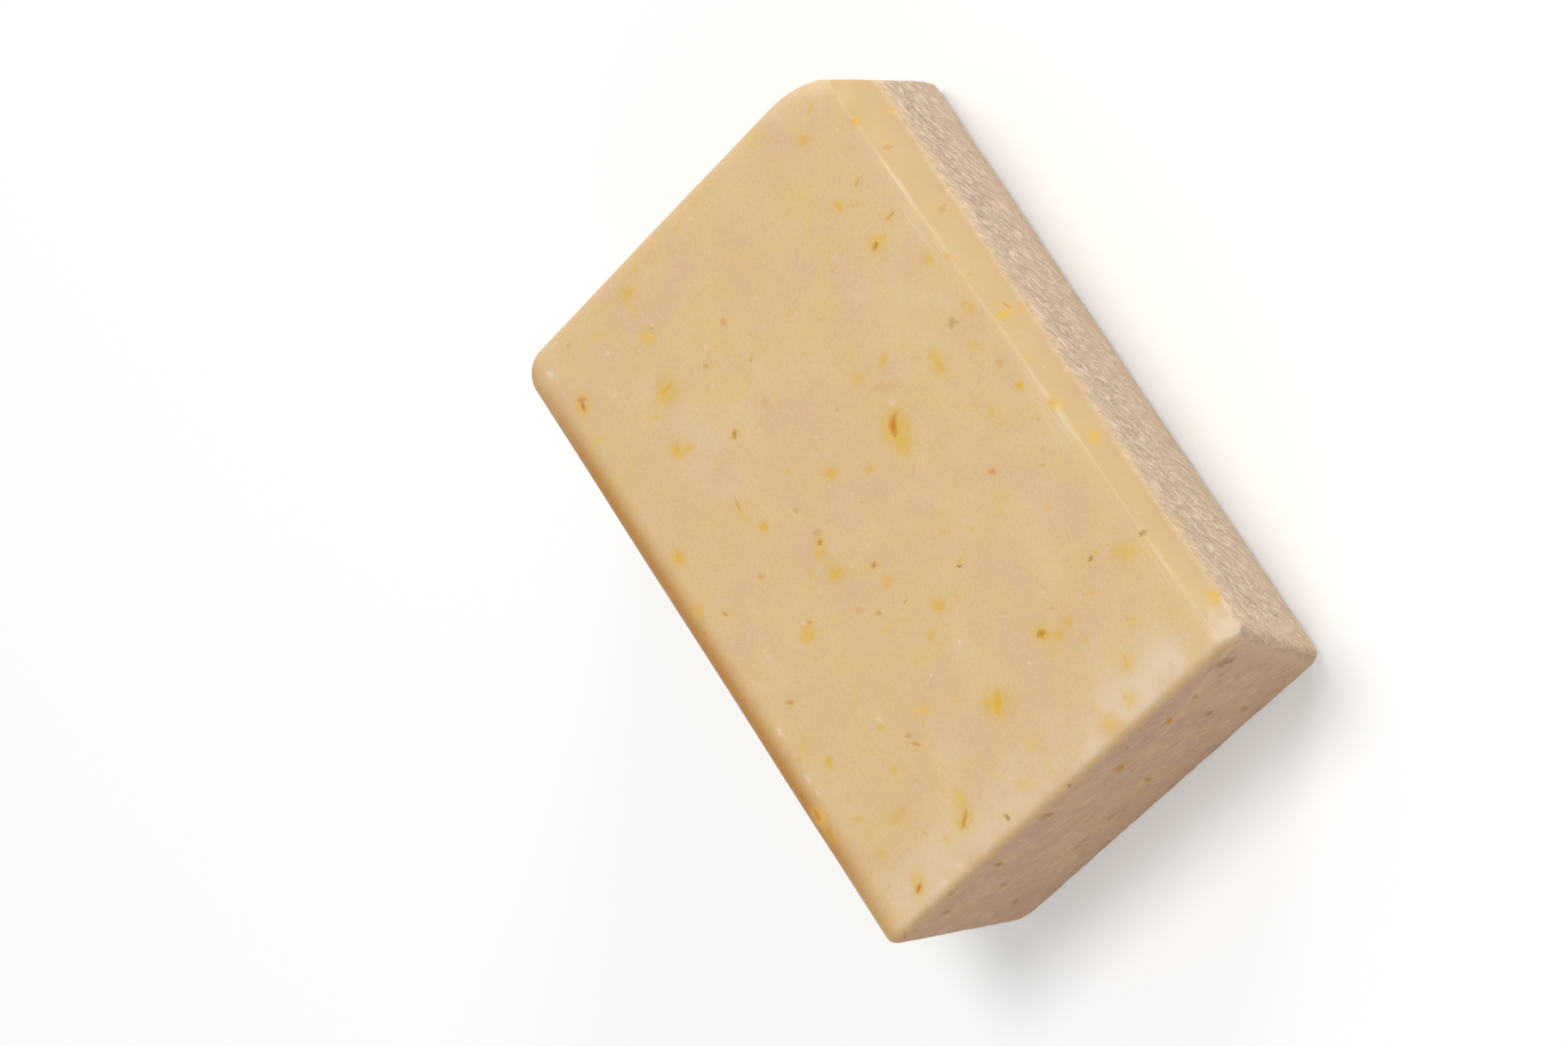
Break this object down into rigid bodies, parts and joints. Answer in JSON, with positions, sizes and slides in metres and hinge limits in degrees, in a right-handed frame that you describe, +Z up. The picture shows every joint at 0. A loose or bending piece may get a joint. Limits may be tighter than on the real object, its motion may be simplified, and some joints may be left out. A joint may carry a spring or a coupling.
{
  "type": "bar of soap",
  "caption": "Hand-cut rectangular bar of soap with one slanting grained side, a shaved strip along one edge, softened edges and one corner trimmed flat.",
  "frame": {"origin": "under the middle of the bar, on the plane of the back face that it lies on", "axes": "+X along the length towards the streaked sawn end, +Y across the width towards the grained side, +Z up through the thickness out of the smooth front face"},
  "size_m": [0.083, 0.06, 0.0279],
  "materials": {
    "soap": "waxy satin, cream to apricot, with scattered golden petal flecks"
  },
  "bodies": {
    "root": {"soap_bar": "soap"}
  },
  "joints": []
}
